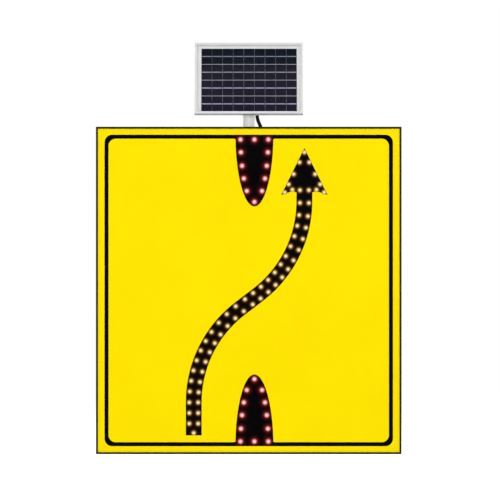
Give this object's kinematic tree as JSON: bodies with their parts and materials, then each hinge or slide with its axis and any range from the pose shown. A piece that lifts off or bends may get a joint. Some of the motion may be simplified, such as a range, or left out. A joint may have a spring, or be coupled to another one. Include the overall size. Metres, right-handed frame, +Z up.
{
  "type": "solar led lane shift sign",
  "caption": "Rectangular yellow lane-shift warning sign with lit arrow and islands, rear service door, post clamps, and a tilting solar panel on a swivel mast above it.",
  "frame": {"origin": "on the axis of the post that the clamps hold, level with the middle of the sign face", "axes": "+Z up along the post, +X to the right as seen from the front, the sign faces -Y"},
  "size_m": [0.7, 0.1837, 0.9491],
  "materials": {
    "frame_black": "satin powder coat",
    "sheet_aluminium": "mill finish",
    "yellow_sheeting": "prismatic reflective film",
    "black_film": "matt cut film",
    "amber_lens": "domed lens, lit",
    "red_lens": "domed lens, lit",
    "board_green": "solder mask",
    "zinc_steel": "zinc plated",
    "stainless": "plain",
    "galvanised": "galvanised",
    "cast_aluminium": "cast",
    "gasket_rubber": "closed-cell rubber",
    "cover_grey": "satin powder coat",
    "battery_case": "moulded",
    "terminal_metal": "tinned",
    "strap_steel": "zinc plated",
    "controller_case": "moulded",
    "block_green": "moulded",
    "lead_black": "cable jacket",
    "switch_black": "moulded",
    "rocker_red": "moulded",
    "mast_paint": "pale powder coat",
    "plug_black": "moulded",
    "panel_aluminium": "anodised",
    "panel_glass": "tempered",
    "cell_silicon": "polycrystalline cell",
    "ribbon_tin": "tinned",
    "backsheet_white": "film"
  },
  "bodies": {
    "cabinet": {"frame_rails": "frame_black", "frame_stiles": "frame_black", "corner_cleats": "sheet_aluminium", "face_sheet": "sheet_aluminium", "yellow_film": "yellow_sheeting", "border_film": "black_film", "island_films": "black_film", "arrow_film": "black_film", "amber_lamps": "amber_lens", "red_lamps": "red_lens", "lamp_boards": "board_green", "board_standoffs": "stainless", "inner_screws": "zinc_steel", "wire_terminals": "block_green", "rear_cover": "cover_grey", "rear_gasket": "gasket_rubber", "cover_screws": "stainless", "equipment_plate": "galvanised", "battery": "battery_case", "battery_terminals": "terminal_metal", "battery_strap": "strap_steel", "charge_controller": "controller_case", "battery_leads": "lead_black", "inner_leads": "lead_black", "switch_body": "switch_black", "door_gasket": "gasket_rubber", "hinge_fixed_leaves": "stainless", "mount_rails": "galvanised", "cover_bolts": "zinc_steel", "post_saddles": "cast_aluminium", "post_straps": "galvanised", "clamp_bolts": "zinc_steel", "mast": "mast_paint", "mast_plug": "plug_black", "mast_pads": "plug_black", "mast_straps": "galvanised", "solar_lead_lower": "lead_black", "rear_gland": "plug_black"},
    "swivel_head": {"swivel_head": "cast_aluminium", "pinch_bolt": "zinc_steel", "tilt_bolt": "zinc_steel", "cable_clip": "plug_black", "solar_lead_upper": "lead_black"},
    "panel": {"panel_crossbar": "galvanised", "crossbar_screws": "stainless", "panel_frame_rails": "panel_aluminium", "panel_frame_stiles": "panel_aluminium", "panel_glass": "panel_glass", "solar_cells": "cell_silicon", "cell_ribbons": "ribbon_tin", "panel_backsheet": "backsheet_white", "junction_box": "plug_black", "junction_lid": "plug_black", "junction_gland": "plug_black"},
    "door": {"service_door": "cover_grey", "hinge_door_leaves": "stainless", "lock_housing": "zinc_steel"},
    "lock": {"lock_barrel": "stainless", "lock_cam": "zinc_steel"},
    "rocker": {"switch_rocker": "rocker_red"}
  },
  "joints": [
    {"name": "panel_swivel", "type": "hinge", "parent": "cabinet", "child": "swivel_head", "pos_m": [0, -0.0485, 0.442], "axis": [0, 0, 1], "range_deg": [-90, 90], "deforming": ["solar_lead_lower"]},
    {"name": "panel_tilt", "type": "hinge", "parent": "swivel_head", "child": "panel", "pos_m": [0, -0.0485, 0.482], "axis": [-1, 0, 0], "range_deg": [-10, 75], "deforming": ["solar_lead_upper"]},
    {"name": "door_hinge", "type": "hinge", "parent": "cabinet", "child": "door", "pos_m": [0.3385, -0.0605, 0], "axis": [0, 0, -1], "range_deg": [0, 115]},
    {"name": "lock_turn", "type": "hinge", "parent": "door", "child": "lock", "pos_m": [0.124, -0.065, 0], "axis": [0, 1, 0], "range_deg": [0, 90]},
    {"name": "switch_rock", "type": "hinge", "parent": "cabinet", "child": "rocker", "pos_m": [0.272, -0.1073, 0.03], "axis": [-1, 0, 0], "range_deg": [0, 16]}
  ]
}
